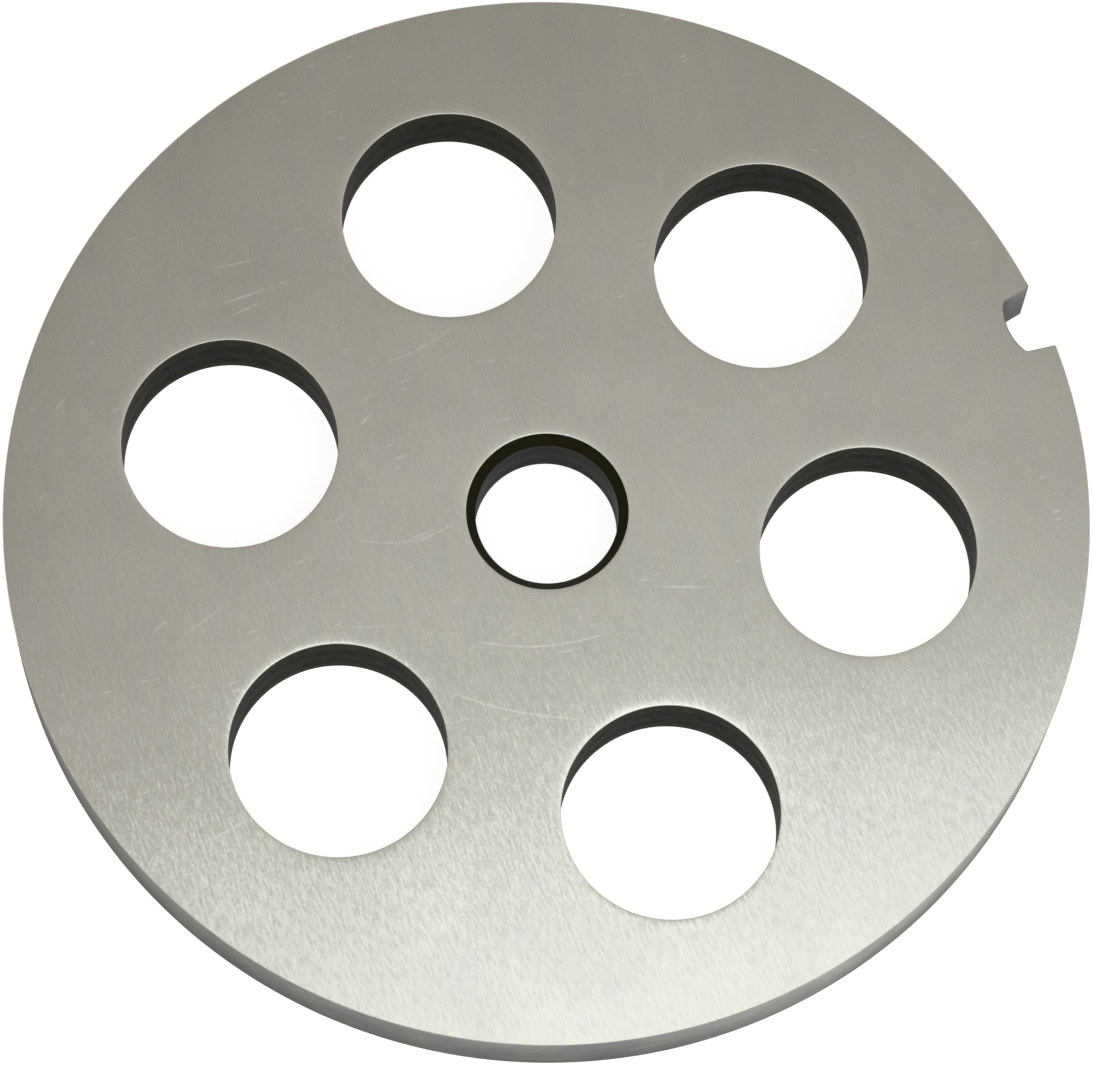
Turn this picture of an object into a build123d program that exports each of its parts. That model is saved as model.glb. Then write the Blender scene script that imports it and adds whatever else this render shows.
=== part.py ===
"""A meat grinder plate: a flat ground disc with six large feed holes, a countersunk
centre bore for the worm's stud, and one key notch in its rim.

All sizes are in millimetres. The origin is on the bore's axis at the back face, +Z
points out of the cutting face, and +X runs through the middle of the key notch.
"""
from build123d import *

from math import radians, tan
import os

# The disc
plate_diameter = 100.0
plate_thickness = 8.0
rim_edge_break = 0.12  # the rim's two corners are only just taken off

# The centre bore, which turns on the worm's stud
bore_diameter = 13.2
countersink_width = 0.9  # how far each countersink widens the bore, on the radius
countersink_depth = 1.1

# The feed holes, drilled straight through, with sharp lips for the knife to cut against
hole_count = 6
hole_diameter = 20.0
seat_land_width = 9.8  # the ring outside the holes that the grinder's ring nut presses on
first_hole_angle = -32.6  # degrees round from the notch

# Each hole was drilled a little off its even place: further out in mm, further round in degrees
hole_wander = [(-0.45, 2.9), (1.0, 0.2), (-0.05, -2.4), (-0.25, -2.3), (-0.55, 0.0), (0.3, 1.5)]

# The key notch, which a pin in the grinder's body enters to stop the plate turning
notch_floor_width = 5.24
notch_depth = 3.55
notch_floor_bow = 0.7  # the floor is deepest in its middle
notch_flank_splay = 8.9  # degrees that each flank leans out towards the rim
notch_corner_radius = 0.5
notch_overrun = 1.0  # how far the notch's cutter runs out past the rim

# What follows from these sizes
plate_radius = plate_diameter / 2
bore_radius = bore_diameter / 2
countersink_radius = bore_radius + countersink_width
hole_radius = hole_diameter / 2
hole_circle_radius = plate_radius - seat_land_width - hole_radius

with BuildPart() as grinder_plate:
    # The disc: half of its section, with the rim's broken corners and the bore's two
    # countersinks, turned once round the bore's axis
    with BuildSketch(Plane.XZ):
        with BuildLine():
            Polyline(
                (bore_radius, countersink_depth),
                (countersink_radius, 0),
                (plate_radius - rim_edge_break, 0),
                (plate_radius, rim_edge_break),
                (plate_radius, plate_thickness - rim_edge_break),
                (plate_radius - rim_edge_break, plate_thickness),
                (countersink_radius, plate_thickness),
                (bore_radius, plate_thickness - countersink_depth),
                close=True,
            )
        make_face()
    revolve(axis=Axis.Z)

    # The feed holes, each at its own place near an even ring
    with Locations(Plane.XY.offset(plate_thickness)):
        for number in range(hole_count):
            further_out, further_round = hole_wander[number % len(hole_wander)]
            hole_angle = first_hole_angle + number * 360 / hole_count + further_round
            with PolarLocations(hole_circle_radius + further_out, 1, hole_angle):
                Hole(hole_radius)

    # The key notch: two splayed flanks and a bowed floor, with its inner corners rounded
    floor_corner_x = plate_radius - notch_depth + notch_floor_bow
    mouth_x = plate_radius + notch_overrun
    mouth_half_width = notch_floor_width / 2 + (mouth_x - floor_corner_x) * tan(radians(notch_flank_splay))
    with BuildSketch() as key_notch:
        with BuildLine():
            Polyline(
                (floor_corner_x, notch_floor_width / 2),
                (mouth_x, mouth_half_width),
                (mouth_x, -mouth_half_width),
                (floor_corner_x, -notch_floor_width / 2),
            )
            ThreePointArc(
                (floor_corner_x, -notch_floor_width / 2),
                (plate_radius - notch_depth, 0),
                (floor_corner_x, notch_floor_width / 2),
            )
        make_face()
        fillet(key_notch.vertices().group_by(Axis.X)[0], notch_corner_radius)
    extrude(amount=plate_thickness, mode=Mode.SUBTRACT)

grinder_plate.part.label = "grinder_plate"

os.makedirs("parts", exist_ok=True)
export_step(grinder_plate.part, "parts/grinder_plate.step")
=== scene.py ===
from math import atan2, cos, degrees, pi, radians, sin

import bmesh
import bpy
import numpy as np
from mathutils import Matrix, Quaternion, Vector


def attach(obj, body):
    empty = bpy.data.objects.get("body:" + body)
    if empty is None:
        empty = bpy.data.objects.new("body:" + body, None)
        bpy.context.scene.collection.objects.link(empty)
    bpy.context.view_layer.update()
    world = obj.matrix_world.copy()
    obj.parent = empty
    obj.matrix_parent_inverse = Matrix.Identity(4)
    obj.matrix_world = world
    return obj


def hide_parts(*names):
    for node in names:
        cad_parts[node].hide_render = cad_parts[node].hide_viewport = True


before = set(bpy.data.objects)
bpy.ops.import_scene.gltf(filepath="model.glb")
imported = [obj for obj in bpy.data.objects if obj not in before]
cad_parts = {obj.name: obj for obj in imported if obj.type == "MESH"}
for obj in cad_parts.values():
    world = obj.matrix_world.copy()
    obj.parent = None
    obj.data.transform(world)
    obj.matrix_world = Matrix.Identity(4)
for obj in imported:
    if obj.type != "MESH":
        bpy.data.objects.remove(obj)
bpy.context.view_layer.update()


# The plate is one disc of tool steel with six feed holes, a countersunk bore and a key notch cut
# through it. It was drilled and notched, then hardened, which left the insides of the holes black,
# and last its two faces and its rim were ground bright. Its sizes are in metres.
plate_radius = 0.050
plate_thickness = 0.008
rim_corner_radius = 0.00012

hole_radius = 0.010
hole_circle_radius = 0.0302
first_hole_angle = -32.6
# each hole was drilled a little off its even place: further out in metres, further round in degrees
hole_wander = [
    (-0.00045, 2.9),
    (0.001, 0.2),
    (-0.00005, -2.4),
    (-0.00025, -2.3),
    (-0.00055, 0.0),
    (0.0003, 1.5),
]
lip_radius = 0.00007

bore_radius = 0.0066
countersink_width = 0.0009
countersink_depth = 0.0011

notch_floor_width = 0.00524
notch_depth = 0.00355
notch_floor_bow = 0.0007
notch_flank_splay = 8.9
notch_corner_radius = 0.0005
notch_mouth_radius = 0.00018

# grinding rolls the face down a little towards each lip: steeply in the last of it, then gently
sharp_roll, sharp_reach = radians(8.5), 0.00027
gentle_roll, gentle_reach = radians(1.3), 0.00085
roll_rows = np.array([0.0036, 0.0024, 0.0016, 0.0011, 0.00075, 0.00052, 0.00036, 0.00024, 0.00015, 0.00007])

# each lip is painted brighter, a painted highlight that partly stands for the knife's rubbing, and the land
# beside it less and less over this reach
rubbed_and_highlight_reach = 0.00035

# how many points each outline has before it closes, and how many each small corner's roll has
rim_steps, hole_steps, bore_steps = 720, 192, 160
notch_floor_steps, notch_corner_steps, notch_mouth_steps = 17, 10, 12
rim_corner_steps, lip_steps = 7, 5

# the face wheel was large and stood off to the notch's side, so its lines are very long arcs
wheel_centre = (0.458, -0.048)


def arc(centre, radius, start, end, steps, bulge=1):
    """Points on a circle from one angle to another, each with the direction that the steel's
    wall faces there: away from the centre where the wall bulges, towards it where it is hollow."""
    turn = np.linspace(start, end, steps)
    ray = np.stack([np.cos(turn), np.sin(turn)], axis=1)
    return np.stack([np.asarray(centre) + radius * ray, bulge * ray])


def far_crossing(point, direction, centre, radius):
    """Where a line leaves a circle: the larger root of the distance from the centre set equal to
    the radius."""
    offset = point - centre
    half_b = offset @ direction
    return point + direction * (np.sqrt(half_b ** 2 - offset @ offset + radius ** 2) - half_b)


def notched_rim():
    """The rim's outline once round, its round part first and the notch last, with the direction
    its wall faces. Half of the notch is the floor's wide hollow arc, the small hollow corner, the
    straight flank and the small bulging corner at the mouth, each tangent to the next. A corner's
    centre lies one corner radius off the flank's line and one corner radius inside the floor's or
    the rim's circle."""
    splay = radians(notch_flank_splay)
    along = np.array([cos(splay), sin(splay)])
    facing = np.array([sin(splay), -cos(splay)])
    half_floor = notch_floor_width / 2
    floor_radius = (half_floor ** 2 + notch_floor_bow ** 2) / (2 * notch_floor_bow)
    floor_centre = np.array([plate_radius - notch_depth + floor_radius, 0])
    flank = np.array([plate_radius - notch_depth + notch_floor_bow, half_floor])

    corner = far_crossing(
        flank + notch_corner_radius * facing, -along, floor_centre, floor_radius - notch_corner_radius
    )
    mouth = far_crossing(
        flank - notch_mouth_radius * facing, along, np.zeros(2), plate_radius - notch_mouth_radius
    )
    corner_turn = atan2(*(corner - floor_centre)[::-1])
    mouth_turn = atan2(*mouth[::-1])

    floor = arc(floor_centre, floor_radius, pi, corner_turn, notch_floor_steps, bulge=-1)
    inner_corner = arc(
        corner, notch_corner_radius, corner_turn, pi / 2 + splay, notch_corner_steps, bulge=-1
    )
    outer_corner = arc(mouth, notch_mouth_radius, splay - pi / 2, mouth_turn, notch_mouth_steps)
    rim = arc((0, 0), plate_radius, mouth_turn, 2 * pi - mouth_turn, rim_steps + 1)
    upper = np.concatenate([floor, inner_corner[:, 1:], outer_corner], axis=1)
    lower = upper[:, ::-1] * (1, -1)
    return np.concatenate([rim[:, 1:], lower[:, 1:], upper[:, 1:]], axis=1)


def rolled_section(corners, tilts, radius, steps):
    """The section of an edge from the cutting face to the back face, as rows of inset, height and
    tilt. Each corner is rolled over by a circle that touches the surfaces before and after it,
    whose tilts are given: its centre is the corner less the sum of the two surfaces' directions,
    times the radius, over one plus their product."""
    rows = []
    for (inset, height), before, after in zip(corners, tilts[:-1], tilts[1:]):
        first, second = np.exp(1j * before), np.exp(1j * after)
        centre = complex(-inset, height) - radius * (first + second) / (1 + (first * second.conjugate()).real)
        tilt = np.linspace(before, after, steps)
        roll = centre + radius * np.exp(1j * tilt)
        rows.append(np.stack([-roll.real, roll.imag, tilt], axis=1))
    return np.concatenate(rows)


def with_rolled_land(section, land_start):
    """The same section with the land outside each lip rolled down to it. The land's slope is the
    sum of two falls that die away with distance from the lip, and its drop is their sum over
    what is left of each."""
    sharp, gentle = np.exp(-roll_rows / sharp_reach), np.exp(-roll_rows / gentle_reach)
    slope = sharp_roll * sharp + gentle_roll * gentle
    drop = sharp_roll * sharp_reach * sharp + gentle_roll * gentle_reach * gentle
    drop[0], slope[0] = 0, 0
    above = np.stack([land_start + roll_rows, plate_thickness - drop, pi / 2 - slope], axis=1)
    below = (above * (1, -1, -1) + (0, plate_thickness, 0))[::-1]
    return np.concatenate([above, section, below])


def carried(outline, section):
    """An edge as a grid: each outline point, set back by the section's inset and lifted to its
    height, and the normal there, turned up from the wall's facing by the tilt."""
    path, facing = outline
    inset, height, tilt = section.T
    flat = path[:, None] - facing[:, None] * inset[None, :, None]
    points = np.concatenate([flat, np.broadcast_to(height[None, :, None], flat.shape[:2] + (1,))], axis=2)
    side = facing[:, None] * np.cos(tilt)[None, :, None]
    lift = np.broadcast_to(np.sin(tilt)[None, :, None], flat.shape[:2] + (1,))
    return points, np.concatenate([side, lift], axis=2)


lip_slope = pi / 2 - sharp_roll - gentle_roll
lip_height = plate_thickness - sharp_roll * sharp_reach - gentle_roll * gentle_reach
cone_tilt = atan2(countersink_width, countersink_depth)
rim_section = rolled_section(
    [(0, plate_thickness), (0, 0)], [pi / 2, 0, -pi / 2], rim_corner_radius, rim_corner_steps
)
hole_section = with_rolled_land(
    rolled_section(
        [(0, lip_height), (0, plate_thickness - lip_height)],
        [lip_slope, 0, -lip_slope],
        lip_radius,
        lip_steps,
    ),
    0,
)
bore_section = with_rolled_land(
    rolled_section(
        [
            (countersink_width, lip_height),
            (0, plate_thickness - countersink_depth),
            (0, countersink_depth),
            (countersink_width, plate_thickness - lip_height),
        ],
        [lip_slope, cone_tilt, 0, -cone_tilt, -lip_slope],
        lip_radius,
        lip_steps,
    ),
    countersink_width,
)

# each edge's outline, its section and the finish of the strips from the cutting face to the back
FACE, RIM, WALL, CONE, BORE = range(5)
land = [FACE] * (len(roll_rows) + lip_steps - 1)
cone_end = lip_steps // 2 + 1
hole_finishes = land + [WALL] + land
bore_finishes = land + [CONE] * cone_end + [BORE] * lip_steps + [CONE] * cone_end + land
rim_corner_top = rim_corner_steps // 2
rim_finishes = [FACE] * rim_corner_top + [RIM] * rim_corner_steps + [FACE] * rim_corner_top

edges = [(notched_rim(), rim_section, rim_finishes)]
for number, (further_out, further_round) in enumerate(hole_wander):
    turn = radians(first_hole_angle + number * 360 / len(hole_wander) + further_round)
    centre = (hole_circle_radius + further_out) * np.array([cos(turn), sin(turn)])
    hole_outline = arc(centre, hole_radius, 0, 2 * pi, hole_steps + 1, bulge=-1)[:, :-1]
    edges.append((hole_outline, hole_section, hole_finishes))
bore_outline = arc((0, 0), bore_radius, 0, 2 * pi, bore_steps + 1, bulge=-1)[:, :-1]
edges.append((bore_outline, bore_section, bore_finishes))

# the mesh is every edge's section carried round its outline, with the flat faces filled in between
points, normals, round_and_down, rubbed_and_highlight, quads, finishes = [], [], [], [], [], []
count = 0
for outline, section, strip_finishes in edges:
    grid, normal = carried(outline, section)
    rows, columns = grid.shape[:2]
    index = count + np.arange(rows * columns).reshape(rows, columns)
    beside = np.roll(index, -1, axis=0)
    corners = [index[:, :-1], index[:, 1:], beside[:, 1:], beside[:, :-1]]
    quads.append(np.stack(corners, axis=2).reshape(-1, 4))
    strips = np.tile(strip_finishes, (rows, 1))
    if section is rim_section:
        # the wheel never reached the notch's corners, which stayed as dull as its walls
        strips[rim_steps:, 1:-1] = RIM
    finishes.append(strips.ravel())
    # each point's way round the edge and down its section, and the edge's whole girth
    steps_round = np.linalg.norm(np.roll(outline[0], -1, axis=0) - outline[0], axis=1)
    steps_down = np.linalg.norm(np.diff(section[:, :2], axis=0), axis=1)
    round_edge = np.concatenate([[0], np.cumsum(steps_round)])
    down_edge = np.concatenate([[0], np.cumsum(steps_down)])
    round_grid, down_grid = np.meshgrid(round_edge[:-1], down_edge, indexing="ij")
    girth_grid = np.full_like(down_grid, round_edge[-1])
    round_and_down.append(np.stack([down_grid, round_grid, girth_grid], axis=2).reshape(-1, 3))
    # how much painted highlight each row gets, partly standing for the knife's rubbing: fully at a lip,
    # less out on the land, and not at all on the rim
    if section is rim_section:
        rubbed_and_highlight_rows = np.zeros(columns)
    else:
        land_rubbed_and_highlight = np.exp(-roll_rows / rubbed_and_highlight_reach)
        rubbed_and_highlight_rows = np.concatenate([land_rubbed_and_highlight, np.ones(columns - 2 * len(roll_rows)), land_rubbed_and_highlight[::-1]])
    rubbed_and_highlight.append(np.tile(rubbed_and_highlight_rows, rows))
    points.append(grid.reshape(-1, 3))
    normals.append(normal.reshape(-1, 3))
    count += rows * columns
points, normals = np.concatenate(points), np.concatenate(normals)
round_and_down, rubbed_and_highlight = np.concatenate(round_and_down), np.concatenate(rubbed_and_highlight)
quads, finishes = np.concatenate(quads), np.concatenate(finishes)

plate_mesh = bpy.data.meshes.new("grinder_plate_finished")
plate_mesh.from_pydata(points.tolist(), [], quads.tolist())
plate_mesh.polygons.foreach_set("material_index", finishes.astype(np.int32))

# each flat face is filled in between the edges that stand open at its height
flush = 0.000001
shell = bmesh.new()
shell.from_mesh(plate_mesh)
for height, direction in ((plate_thickness, 1), (0, -1)):
    open_edges = [
        edge for edge in shell.edges if edge.is_boundary and abs(edge.verts[0].co.z - height) < flush
    ]
    bmesh.ops.triangle_fill(
        shell, use_beauty=True, use_dissolve=False, edges=open_edges, normal=(0, 0, direction)
    )
bmesh.ops.recalc_face_normals(shell, faces=shell.faces)
shell.to_mesh(plate_mesh)
shell.free()
plate_mesh.shade_smooth()
plate_mesh.normals_split_custom_set_from_vertices(normals.tolist())
rubbed_and_highlight_map = plate_mesh.attributes.new("rubbed_and_highlight", "FLOAT", "POINT")
rubbed_and_highlight_map.data.foreach_set("value", rubbed_and_highlight.astype(np.float32))

# The lay map holds, in millimetres, how far a point is across the tool's lines and along them.
# On the faces the lines are circles about the wheel's centre; on the edges they run round.
corner_vertex = np.empty(len(plate_mesh.loops), dtype=np.int32)
plate_mesh.loops.foreach_get("vertex_index", corner_vertex)
from_wheel = points[corner_vertex, :2] - wheel_centre
wheel_reach = abs(wheel_centre[0])
lay = np.stack(
    [
        wheel_reach - np.hypot(*from_wheel.T),
        wheel_reach * np.arctan2(from_wheel[:, 1], -from_wheel[:, 0]),
    ],
    axis=1,
)
down, along, girth = round_and_down[corner_vertex[: quads.size]].T.reshape(3, -1, 4)
past_seam = np.ptp(along, axis=1)[:, None] > girth / 2
along = along + np.where(past_seam & (along < girth / 2), girth, 0)
on_edge = np.repeat(finishes != FACE, 4)
lay[: quads.size][on_edge] = np.stack([down, along], axis=2).reshape(-1, 2)[on_edge]
plate_mesh.uv_layers.new(name="lay").data.foreach_set("uv", (1000 * lay).ravel())


# the plate's finishes: the wheel's fine lines on the two faces, turned lines round the rim and in
# the notch, and the black that hardening left in the holes, the countersinks and the bore
def feed(tree, socket, value):
    """Another node's socket linked to an input, or a plain value set on it."""
    if isinstance(value, bpy.types.NodeSocket):
        tree.links.new(value, socket)
    else:
        socket.default_value = value


def add(tree, kind, inputs=(), **settings):
    """One node, with its settings and with numbers, colours or other nodes' sockets as inputs."""
    node = tree.nodes.new(kind)
    for name, value in settings.items():
        setattr(node, name, value)
    for name, value in dict(inputs).items():
        feed(tree, node.inputs[name], value)
    return node


def maths(tree, operation, *values, clamp=False):
    """A maths node's result."""
    return add(tree, "ShaderNodeMath", enumerate(values), operation=operation, use_clamp=clamp).outputs[0]


def product(tree, first, *others):
    """Several numbers multiplied together."""
    for other in others:
        first = maths(tree, "MULTIPLY", first, other)
    return first


def vectors(tree, operation, *values):
    """A vector maths node's result as a vector."""
    return add(tree, "ShaderNodeVectorMath", enumerate(values), operation=operation).outputs[0]


def scaled(tree, vector, factor):
    """A vector or a colour times a number."""
    return add(tree, "ShaderNodeVectorMath", {0: vector, "Scale": factor}, operation="SCALE").outputs[0]


def measured(tree, operation, *values):
    """A vector maths node's result as a number: a length or a dot product."""
    return add(tree, "ShaderNodeVectorMath", enumerate(values), operation=operation).outputs["Value"]


def between(tree, value, low, high, low_result=0, high_result=1, smooth=True):
    """A value that goes from one result to another as the input goes from low to high."""
    kind = "SMOOTHSTEP" if smooth else "LINEAR"
    inputs = {"Value": value, "From Min": low, "From Max": high, "To Min": low_result, "To Max": high_result}
    return add(tree, "ShaderNodeMapRange", inputs, interpolation_type=kind).outputs["Result"]


def varied(tree, pattern, low_result, high_result):
    """A value that follows a noise from one result to another, over the noise's usual range."""
    return between(tree, pattern, 0.25, 0.75, low_result, high_result, smooth=False)


def noise(tree, vector, scale, detail=2.0, roughness=0.5, dimensions="2D"):
    """A noise's value, about a half on average, on a flat face or map or through the steel."""
    inputs = {"Vector": vector, "Scale": scale, "Detail": detail, "Roughness": roughness}
    return add(tree, "ShaderNodeTexNoise", inputs, noise_dimensions=dimensions).outputs["Fac"]


def mixed(tree, factor, first, second):
    """Two colours mixed by a factor."""
    node = add(tree, "ShaderNodeMix", data_type="RGBA")
    for number, value in ((0, factor), (6, first), (7, second)):
        feed(tree, node.inputs[number], value)
    return node.outputs[2]


def grey(value, red=1.0, blue=1.0):
    """A colour from its green, with its red and blue as shares of that."""
    return (value * red, value, value * blue, 1)


def new_group(name, inputs, outputs):
    """An empty node group with the named sockets, and its two end nodes."""
    group = bpy.data.node_groups.new(name, "ShaderNodeTree")
    for socket, kind in inputs.items():
        group.interface.new_socket(socket, in_out="INPUT", socket_type=kind)
    for socket, kind in outputs.items():
        group.interface.new_socket(socket, in_out="OUTPUT", socket_type=kind)
    return group, group.nodes.new("NodeGroupInput"), group.nodes.new("NodeGroupOutput")


def placed(tree, group, inputs):
    """A node group set into a material, with that material's own values."""
    node = add(tree, "ShaderNodeGroup", node_tree=group)
    for name, value in inputs.items():
        feed(tree, node.inputs[name], value)
    return node.outputs


def tool_lines_group():
    """Fine broken lines that run along the lay, wider faint bands of them, and an even grain. The
    map is divided by the lines' width and length, so that a noise stretches into lines."""
    number, vector = "NodeSocketFloat", "NodeSocketVector"
    group, start, end = new_group(
        "tool_lines",
        {"Lay": vector, "Line Width": number, "Line Length": number, "Grain": number},
        {"Lines": number, "Bands": number, "Grain": number},
    )
    lay, width, length, grain = (start.outputs[name] for name in ("Lay", "Line Width", "Line Length", "Grain"))
    size = add(group, "ShaderNodeCombineXYZ", {"X": width, "Y": length, "Z": 1}).outputs[0]
    stretched = vectors(group, "DIVIDE", lay, size)
    group.links.new(noise(group, stretched, 1.0, 2.0, 0.6), end.inputs["Lines"])
    group.links.new(noise(group, stretched, 0.19, 1.0, 0.5), end.inputs["Bands"])
    group.links.new(noise(group, lay, grain, 2.0, 0.6), end.inputs["Grain"])
    return group


def lip_wear_and_shade_group():
    """A broken band within the given reach of either face, in mm: on the rim where a lip has been
    rubbed, and in the holes the painted light near the lip that falls off into painted shade deeper
    down. The mask is one less the depth under the nearer face over the reach."""
    number, vector = "NodeSocketFloat", "NodeSocketVector"
    group, start, end = new_group("lip_wear_and_shade", {"Point": vector, "Reach": number}, {"Mask": number})
    point = start.outputs["Point"]
    height = add(group, "ShaderNodeSeparateXYZ", {0: point}).outputs["Z"]
    depth = maths(group, "MINIMUM", height, maths(group, "SUBTRACT", 1000 * plate_thickness, height))
    broken = between(group, noise(group, point, 0.9, 2.0, dimensions="3D"), 0.3, 0.7, 0.35, 1.5)
    reach = product(group, start.outputs["Reach"], broken)
    near_face = maths(group, "SUBTRACT", 1, maths(group, "DIVIDE", depth, reach), clamp=True)
    group.links.new(near_face, end.inputs["Mask"])
    return group


tool_lines, lip_wear_and_shade = tool_lines_group(), lip_wear_and_shade_group()


def steel(name):
    """A new material, with its nodes, its shader, the lay map and the place in the steel in mm."""
    material = bpy.data.materials.new(name)
    material.use_nodes = True
    tree = material.node_tree
    lay = add(tree, "ShaderNodeUVMap", uv_map="lay").outputs[0]
    point = scaled(tree, add(tree, "ShaderNodeTexCoord").outputs["Object"], 1000)
    return material, tree, tree.nodes["Principled BSDF"], lay, point


def height_in(tree, point):
    """How high a place is above the back face, in mm."""
    return add(tree, "ShaderNodeSeparateXYZ", {0: point}).outputs["Z"]


def from_axis(tree, point):
    """The level vector from the bore's axis to a place, and its length, in mm."""
    outwards = vectors(tree, "MULTIPLY", point, (1, 1, 0))
    return outwards, measured(tree, "LENGTH", outwards)


# the hairline scratches on the cutting face, in mm: each one's middle x and y, its angle in degrees,
# its length, how far it bows and how strong it is; under the least bow it is drawn straight
hairline_width, hairline_taper, least_bow = 0.16, 0.75, 0.3
nick_strength = 0.6
hairlines = [
    (-17.8, 33.1, -8, 4.6, 0.15, 0.8),
    (-18.1, 29.8, -3, 5.6, 0.05, 1.0),
    (-14.2, 29.65, -4, 1.6, 0.0, 0.6),
    (-18.2, 28.6, 3, 3.5, -0.1, 0.7),
    (-12.6, 34.9, -3, 1.6, 0.0, 0.5),
    (-37.7, 26.5, 31, 1.6, 0.0, 0.7),
    (-36.1, 24.4, 15, 1.4, 0.0, 0.5),
    (-42.5, 18.9, 8, 1.9, 0.1, 0.5),
    (-12.3, 14.4, 25, 2.1, 0.1, 0.9),
    (-11.4, 16.3, 10, 1.6, 0.05, 0.6),
    (-10.2, 15.2, -3, 1.9, 0.0, 0.4),
    (-10.5, 9.95, 2, 1.5, 0.0, 0.9),
    (-4.7, 19.3, 7, 6.8, -0.35, 0.7),
    (-12.6, 2.95, -11, 8.4, -0.8, 0.7),
    (-11.5, 2.3, -1, 2.2, 0.0, 1.0),
    (-11.5, 1.8, -2, 1.9, 0.0, 0.8),
    (-22.8, 4.1, 12, 1.9, 0.0, 0.7),
    (-37.1, 3.2, 17, 1.6, 0.0, 0.7),
    (-32.9, 2.3, 17, 5.2, 0.1, 0.6),
    (-18.0, 6.6, 22, 1.2, 0.0, 0.7),
    (-38.9, -16.9, 5, 5.6, 0.2, 0.7),
    (-43.2, -15.5, 12, 1.1, 0.0, 0.6),
    (-9.8, -16.1, -34.2, 10.4, -0.4, 1.0),
    (-5.1, -11.0, -18.5, 11.0, -0.75, 0.8),
    (-3.8, -12.9, -10, 1.7, 0.0, 0.6),
    (-19.3, -4.0, -19.5, 8.6, 0.1, 0.45),
    (23.9, 36.45, -9, 2.8, 0.1, 0.5),
    (36.7, 23.0, -32, 1.2, 0.0, 0.6),
    (41.6, 22.5, -12, 5.0, 0.1, 0.45),
    (40.3, 12.9, -47, 3.4, 0.2, 0.4),
    (0.8, 15.3, 0, 1.0, 0.0, 0.6),
    (11.8, -3.2, -72, 1.4, 0.0, 0.6),
    (5.8, -9.5, -19, 1.4, 0.0, 0.7),
    (8.6, -11.35, -23, 4.8, 0.05, 0.8),
    (39.1, -11.0, -4, 0.9, 0.0, 0.6),
    (12.2, 12.4, -17, 1.7, 0.0, 0.4),
]


def chords(x, y, angle, length, bow, strength):
    """A hairline as one straight stretch, or as five overlapping ones where it bows: its height
    over its chord is the bow times one less the square of the share of the way to its end."""
    if abs(bow) < least_bow:
        return [(x, y, angle, length, strength)]
    turn = radians(angle)
    stretches = []
    for share in (-0.8, -0.4, 0, 0.4, 0.8):
        along, aside = share * length / 2, bow * (1 - share ** 2)
        slope = atan2(-4 * bow * share, length)
        middle_x = x + along * cos(turn) - aside * sin(turn)
        middle_y = y + along * sin(turn) + aside * cos(turn)
        stretches.append((middle_x, middle_y, angle + degrees(slope), 0.3 * length, strength))
    return stretches


def scratches(tree, flat_place):
    """Where the hairlines and the nicks are, from none to one. Each hairline is a long thin drop of
    a spherical gradient, sunk below the face to make it faint. The nicks are the middles of a
    few cells of a pattern, lying across the tool's lines and gathered in drifts."""
    traces = None
    for line in hairlines:
        for x, y, angle, length, strength in chords(*line):
            laid = {
                "Vector": flat_place,
                "Location": (x, y, 1 - strength),
                "Rotation": (0, 0, radians(angle)),
                "Scale": (hairline_taper * length, hairline_width, 1),
            }
            drop = add(tree, "ShaderNodeMapping", laid, vector_type="TEXTURE").outputs[0]
            trace = add(tree, "ShaderNodeTexGradient", {"Vector": drop}, gradient_type="SPHERICAL")
            trace = trace.outputs["Fac"]
            traces = trace if traces is None else maths(tree, "MAXIMUM", traces, trace)
    broken = between(tree, noise(tree, flat_place, 1.7, 2.0, 0.7), 0.34, 0.56, 0.5, 1.0)
    drawn = product(tree, between(tree, traces, 0, 1), broken)

    across_lines = vectors(tree, "MULTIPLY", flat_place, (0.55, 2.1, 1))
    cells = add(tree, "ShaderNodeTexVoronoi", {"Vector": across_lines, "Scale": 0.5}, voronoi_dimensions="2D")
    middle = between(tree, cells.outputs["Distance"], 0.16, 0.05)
    picked = add(tree, "ShaderNodeSeparateColor", {0: cells.outputs["Color"]}).outputs[0]
    drift = between(tree, noise(tree, flat_place, 0.05, 1.0), 0.42, 0.62)
    nicks = product(tree, middle, between(tree, picked, 0.84, 0.94), drift)
    return maths(tree, "MAXIMUM", drawn, product(tree, nicks, nick_strength))


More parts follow.
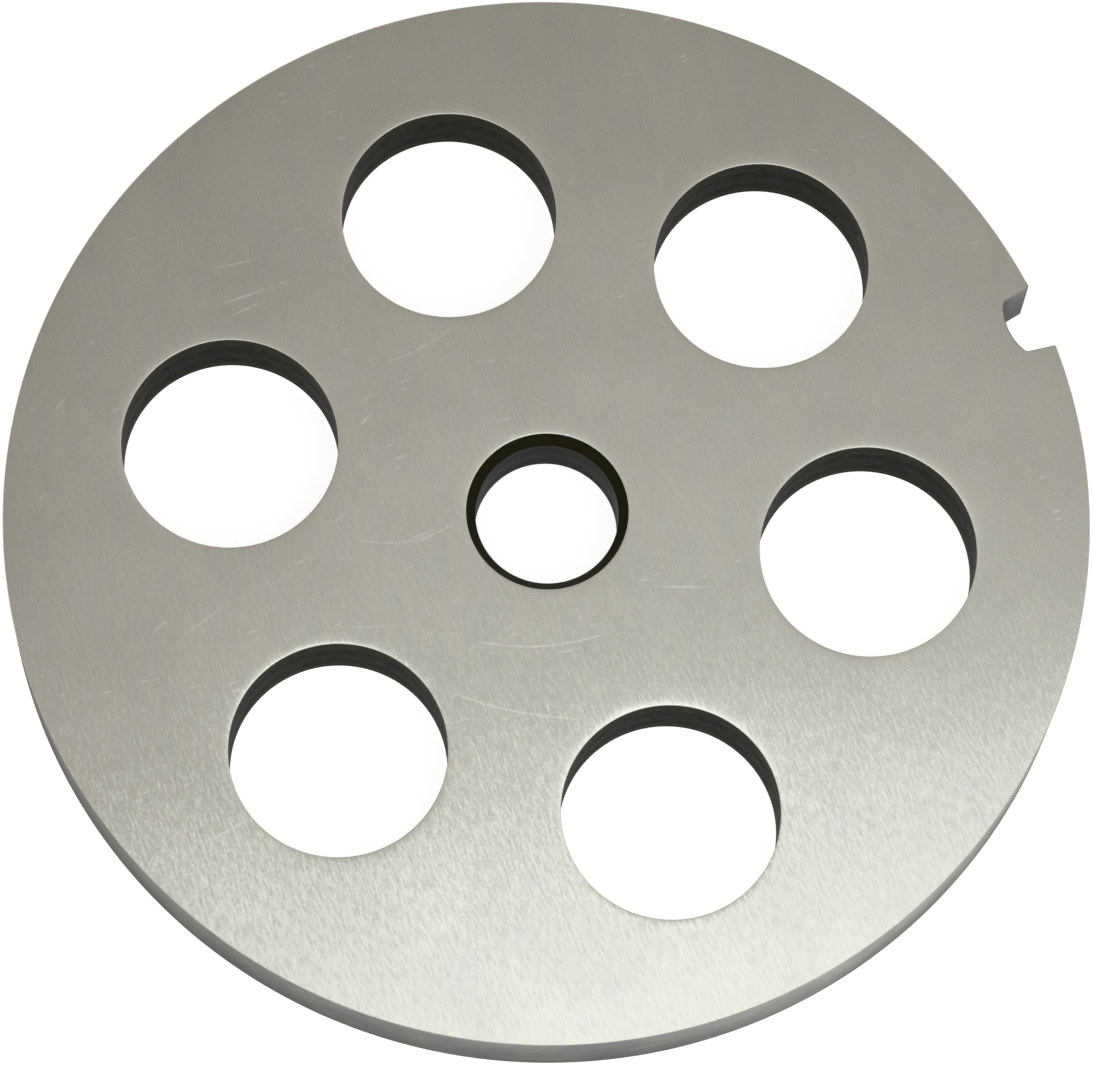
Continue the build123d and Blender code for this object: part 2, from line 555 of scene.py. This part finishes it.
def ground_face():
    """The ground faces: pale steel whose fine lines each tilt the face a little along the lay, so
    that it glitters in short streaks, with hairlines and nicks, lips painted brighter as a painted
    highlight that partly stands for the knife's rubbing, and the plate's outer edge rolled down by a
    slope that dies away inwards."""
    cool_steel, warm_steel = grey(0.603, 1.0, 0.945), grey(0.615, 1.008, 0.915)
    fresh_steel = grey(0.95, 1.0, 0.96)
    line_tilt, grain_tilt = 0.085, 0.07
    hard_bite, soft_bite, bite_direction = 1.7, 0.3, (0.46, 0.89, 0)
    outer_roll, outer_fading = 0.00029, -1.6

    material, tree, shader, lay, point = steel("ground_face")
    lines = placed(tree, tool_lines, {"Lay": lay, "Line Width": 0.26, "Line Length": 1.3, "Grain": 3.6})

    # the back face wears the same marks, turned over and turned round
    middle = 500 * plate_thickness
    front = between(tree, height_in(tree, point), middle - 0.1, middle + 0.1, smooth=False)
    turned_over = add(
        tree,
        "ShaderNodeVectorRotate",
        {"Vector": vectors(tree, "MULTIPLY", point, (-1, 1, 1)), "Angle": radians(137)},
        rotation_type="Z_AXIS",
    ).outputs[0]
    side = add(tree, "ShaderNodeMix", data_type="VECTOR")
    for number, value in ((0, front), (4, turned_over), (5, point)):
        feed(tree, side.inputs[number], value)
    marks = scratches(tree, vectors(tree, "MULTIPLY", side.outputs[1], (1, 1, 0)))

    tone = mixed(tree, between(tree, lines["Bands"], 0.3, 0.7), cool_steel, warm_steel)
    # the lips' brightening: a painted highlight, partly the knife's rubbing
    rubbed_and_highlight = add(tree, "ShaderNodeAttribute", attribute_name="rubbed_and_highlight").outputs["Fac"]
    level = product(
        tree,
        varied(tree, lines["Lines"], 0.99, 1.01),
        varied(tree, lines["Grain"], 0.99, 1.01),
        between(tree, noise(tree, point, 0.09, 2.0), 0.3, 0.7, 0.975, 1.025),
        # painted highlight at the lips, partly the knife's rubbing
        maths(tree, "MULTIPLY_ADD", rubbed_and_highlight, 0.12, 1.0),
    )
    colour = mixed(tree, product(tree, marks, 0.9), scaled(tree, tone, level), fresh_steel)
    feed(tree, shader.inputs["Base Color"], colour)
    rough = maths(tree, "MULTIPLY_ADD", marks, 0.22, varied(tree, lines["Lines"], 0.25, 0.31))
    feed(tree, shader.inputs["Roughness"], rough)

    normal = add(tree, "ShaderNodeNewGeometry").outputs["Normal"]
    across = add(tree, "ShaderNodeTangent", direction_type="UV_MAP", uv_map="lay").outputs[0]
    along = vectors(tree, "CROSS_PRODUCT", normal, across)
    side_place = measured(tree, "DOT_PRODUCT", point, bite_direction)
    bite = between(tree, side_place, 35, -45, soft_bite, hard_bite, smooth=False)
    tilt = maths(tree, "MULTIPLY_ADD", lines["Lines"], line_tilt, -(line_tilt + grain_tilt) / 2)
    tilt = product(tree, maths(tree, "MULTIPLY_ADD", lines["Grain"], grain_tilt, tilt), bite)
    outwards, reach = from_axis(tree, point)
    inwards = maths(tree, "SUBTRACT", 1000 * plate_radius, reach)
    fall = product(tree, maths(tree, "EXPONENT", product(tree, inwards, outer_fading)), outer_roll)
    leaning = vectors(tree, "ADD", scaled(tree, along, tilt), scaled(tree, outwards, fall))
    leaning = vectors(tree, "NORMALIZE", vectors(tree, "ADD", normal, leaning))
    feed(tree, shader.inputs["Normal"], leaning)
    feed(tree, shader.inputs["Tangent"], across)
    shader.inputs["Metallic"].default_value = 1
    shader.inputs["Anisotropic"].default_value = 0.8
    return material


def ground_rim():
    """The rim: duller steel under turned lines, stained in soft patches, rubbed bright at its two
    corners, and darker towards the back face and in the notch, which is painted shade. It is paler
    on one side, which stands in for light that this studio doesn't throw there."""
    stained_steel, plain_steel, bright_corner = grey(0.25, 1.0, 0.97), grey(0.295, 1.0, 0.95), grey(0.5)
    # painted shade: the rim's level at the back face, which lies on the floor, and at the cutting face
    back_shade_level, front_level = 0.52, 0.98
    # painted shade down in the notch: its level at the notch's floor, and how far in from the rim it ends, in
    # mm
    notch_shade_level, notch_shade_end = 0.45, 1.6
    pale_level, pale_direction = 1.55, (0.42, -0.91, 0)
    line_depth = 0.000004

    material, tree, shader, lay, point = steel("ground_rim")
    lines = placed(tree, tool_lines, {"Lay": lay, "Line Width": 0.28, "Line Length": 9.0, "Grain": 2.0})
    stain = between(tree, noise(tree, point, 0.16, 3.0, 0.6, "3D"), 0.35, 0.65)
    wear_and_shade = placed(tree, lip_wear_and_shade, {"Point": point, "Reach": 0.35})["Mask"]
    tone = mixed(tree, stain, stained_steel, plain_steel)
    notch_floor, rim_start = 1000 * (plate_radius - notch_depth), 1000 * plate_radius - notch_shade_end
    pale_side = measured(tree, "DOT_PRODUCT", point, pale_direction)
    height, reach = height_in(tree, point), from_axis(tree, point)[1]
    level = product(
        tree,
        varied(tree, lines["Lines"], 0.88, 1.12),
        varied(tree, lines["Grain"], 0.95, 1.05),
        # painted shade towards the back face and down in the notch
        between(tree, height, 0, 1000 * plate_thickness, back_shade_level, front_level, smooth=False),
        between(tree, reach, notch_floor, rim_start, notch_shade_level, 1.0),
        between(tree, pale_side, 37, 51, 1.0, pale_level),
    )
    colour = mixed(tree, product(tree, wear_and_shade, 0.4), scaled(tree, tone, level), bright_corner)
    feed(tree, shader.inputs["Base Color"], colour)
    feed(tree, shader.inputs["Roughness"], between(tree, lines["Bands"], 0.3, 0.7, 0.54, 0.60, smooth=False))
    bump = add(tree, "ShaderNodeBump", {"Height": lines["Lines"], "Strength": 1.0, "Distance": line_depth})
    feed(tree, shader.inputs["Normal"], bump.outputs[0])
    tangent = add(tree, "ShaderNodeTangent", direction_type="UV_MAP", uv_map="lay").outputs[0]
    feed(tree, shader.inputs["Tangent"], tangent)
    shader.inputs["Metallic"].default_value = 1
    shader.inputs["Anisotropic"].default_value = 0.85
    shader.inputs["Specular Tint"].default_value = (0.5, 0.5, 0.5, 1)
    return material


def blackened(name, lit_thin_scale, shaded_deep_scale, lip_light_share, roughness, gloss):
    """A drilled wall as hardening left it: an almost black scale, browner near the lip where it is
    thinner, over the drill's faint turned lines. Near the lip it is also paler, and it darkens deeper
    in the hole, which is painted shade."""
    lip_reach, patchiness, line_depth = 4.5, 0.12, 0.000008

    material, tree, shader, lay, point = steel(name)
    lines = placed(tree, tool_lines, {"Lay": lay, "Line Width": 0.35, "Line Length": 12.0, "Grain": 1.4})
    wear_and_shade = placed(tree, lip_wear_and_shade, {"Point": point, "Reach": lip_reach})["Mask"]
    patches = between(tree, noise(tree, point, 0.35, 2.0, 0.6, "3D"), 0.3, 0.7, -patchiness, patchiness)
    # browner and paler near each lip: the brown is the thinner scale, and the fall to dark deeper in is
    # painted shade
    thin_and_lit = maths(tree, "ADD", product(tree, wear_and_shade, lip_light_share), patches, clamp=True)
    colour = scaled(tree, mixed(tree, thin_and_lit, shaded_deep_scale, lit_thin_scale), varied(tree, lines["Lines"], 0.86, 1.14))
    feed(tree, shader.inputs["Base Color"], colour)
    rough = between(tree, lines["Bands"], 0.3, 0.7, roughness - 0.05, roughness + 0.05, smooth=False)
    feed(tree, shader.inputs["Roughness"], rough)
    depth = maths(tree, "MULTIPLY_ADD", lines["Lines"], 0.7, lines["Grain"])
    bump = add(tree, "ShaderNodeBump", {"Height": depth, "Strength": 1.0, "Distance": line_depth})
    feed(tree, shader.inputs["Normal"], bump.outputs[0])
    shader.inputs["Specular IOR Level"].default_value = gloss
    return material


# in the order of the finishes' numbers
for material in (
    ground_face(),
    ground_rim(),
    blackened("hardened_wall", grey(0.035, 1.05, 0.64), grey(0.012, 1.0, 0.90), 0.9, 0.62, 0.034),
    blackened("hardened_countersink", grey(0.011, 1.10, 0.10), grey(0.007, 1.0, 0.2), 0.8, 0.5, 0.088),
    blackened("hardened_bore", grey(0.029, 1.0, 0.80), grey(0.022, 1.0, 0.90), 0.6, 0.58, 0.038),
):
    plate_mesh.materials.append(material)

plate = bpy.data.objects.new("grinder_plate_finished", plate_mesh)
bpy.context.collection.objects.link(plate)
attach(plate, "root")
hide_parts("grinder_plate")


# The floor the plate lies on. It is pale, and white to the camera and in the steel; the light on
# it still falls off under the plate's edge.
floor_reach = 3.0
floor_gap = 0.00005
paper_shade, seen_white = grey(0.36), 0.88
floor_mesh = bpy.data.meshes.new("studio_floor")
floor_mesh.from_pydata(
    [
        (-floor_reach, -floor_reach, 0),
        (floor_reach, -floor_reach, 0),
        (floor_reach, floor_reach, 0),
        (-floor_reach, floor_reach, 0),
    ],
    [],
    [(0, 1, 2, 3)],
)
floor = bpy.data.objects.new("studio_floor", floor_mesh)
floor.location.z = -floor_gap
bpy.context.collection.objects.link(floor)
floor_material = bpy.data.materials.new("pale_floor")
floor_material.use_nodes = True
floor_material.cycles.emission_sampling = "NONE"
floor_mesh.materials.append(floor_material)
tree = floor_material.node_tree
tree.nodes.clear()
ray = add(tree, "ShaderNodeLightPath").outputs
seen = maths(tree, "MAXIMUM", ray["Is Camera Ray"], ray["Is Glossy Ray"])
seen = maths(tree, "MAXIMUM", seen, ray["Is Transmission Ray"])
whitened = add(tree, "ShaderNodeEmission", {"Strength": product(tree, seen, seen_white)}).outputs[0]
paper = add(tree, "ShaderNodeBsdfDiffuse", {"Color": paper_shade}).outputs[0]
surface = add(tree, "ShaderNodeAddShader", {0: paper, 1: whitened}).outputs[0]
add(tree, "ShaderNodeOutputMaterial", {"Surface": surface})


# The studio is a white surround with one soft box close over the plate. The box is a level sheet
# that glows warm and low over its far part and white over its near part, so that the ground
# faces brighten towards the camera, and it fades to both sides.
box_height = 0.133
box_bearing = radians(76.7)
box_half_width = 0.20
box_near_end = -0.20
box_far_end = 0.24
# its glow along its length: a slope that levels off over the far part, and white over the near part
middle_glow, glow_slope, far_glow = 0.886, -4.66, 0.43
white_glow, white_start, white_end = 1.555, -0.01315, 0.00935
# its glow across: brightest on a line, fading with the square of the distance, down to a share
brightest_line, side_fading, side_share = 0.016, -58.0, 0.3
box_mesh = bpy.data.meshes.new("soft_box")
box_mesh.from_pydata(
    [
        (-box_half_width, box_near_end, 0),
        (-box_half_width, box_far_end, 0),
        (box_half_width, box_far_end, 0),
        (box_half_width, box_near_end, 0),
    ],
    [],
    [(0, 1, 2, 3)],
)
box = bpy.data.objects.new("soft_box", box_mesh)
box.location.z = box_height
box.rotation_euler.z = box_bearing - pi / 2
box.visible_camera = False
bpy.context.collection.objects.link(box)
box_material = bpy.data.materials.new("soft_box_glow")
box_material.use_nodes = True
box_material.cycles.emission_sampling = "NONE"
box_mesh.materials.append(box_material)
tree = box_material.node_tree
tree.nodes.clear()
place = add(tree, "ShaderNodeSeparateXYZ", {0: add(tree, "ShaderNodeTexCoord").outputs["Object"]}).outputs
low_glow = maths(tree, "MAXIMUM", maths(tree, "MULTIPLY_ADD", place["Y"], glow_slope, middle_glow), far_glow)
white_share = between(tree, product(tree, place["Y"], -1), white_start, white_end)
glow_level = maths(tree, "MULTIPLY_ADD", maths(tree, "SUBTRACT", white_glow, low_glow), white_share, low_glow)
off_line = maths(tree, "SUBTRACT", place["X"], brightest_line)
fading = maths(tree, "MULTIPLY_ADD", product(tree, off_line, off_line), side_fading, 1.0)
glow_level = product(tree, glow_level, maths(tree, "MAXIMUM", fading, side_share))
# the low glow is warm, and the brighter it is the whiter
tint = add(tree, "ShaderNodeValToRGB", {"Fac": product(tree, glow_level, 0.6)})
tint.color_ramp.elements.new(0.5)
stops = [(0.2, grey(1, 1.055, 0.89)), (0.55, grey(1, 0.99, 0.97)), (0.85, grey(1))]
for element, (level, colour) in zip(tint.color_ramp.elements, stops):
    element.position, element.color = level, colour
glow = add(tree, "ShaderNodeEmission", {"Color": tint.outputs["Color"], "Strength": glow_level})
add(tree, "ShaderNodeOutputMaterial", {"Surface": glow.outputs[0]})

world = bpy.data.worlds.new("studio")
bpy.context.scene.world = world
world.use_nodes = True
world.node_tree.nodes["Background"].inputs["Color"].default_value = (1, 1, 1, 1)
world.cycles.sampling_method = "NONE"


# The camera stands high in front of the plate, a little to the left of the side away from the
# notch, and is turned slightly on its axis.
camera_aim = Vector((-0.00087, -0.00187, plate_thickness))
camera_distance = 0.57875
camera_bearing = radians(-152.54)
camera_elevation = radians(73.78)
camera_roll = radians(4.97)
toward_camera = Vector((
    sin(camera_bearing) * cos(camera_elevation),
    cos(camera_bearing) * cos(camera_elevation),
    sin(camera_elevation),
))
camera = bpy.data.objects.new("camera", bpy.data.cameras.new("camera"))
camera.data.lens = 207.5
camera.data.sensor_width = 36
camera.data.sensor_fit = "HORIZONTAL"
camera.location = camera_aim + camera_distance * toward_camera
camera.rotation_mode = "QUATERNION"
camera.rotation_quaternion = toward_camera.to_track_quat("Z", "Y") @ Quaternion((0, 0, 1), camera_roll)
bpy.context.collection.objects.link(camera)
bpy.context.scene.camera = camera
bpy.context.scene.view_settings.view_transform = "Standard"
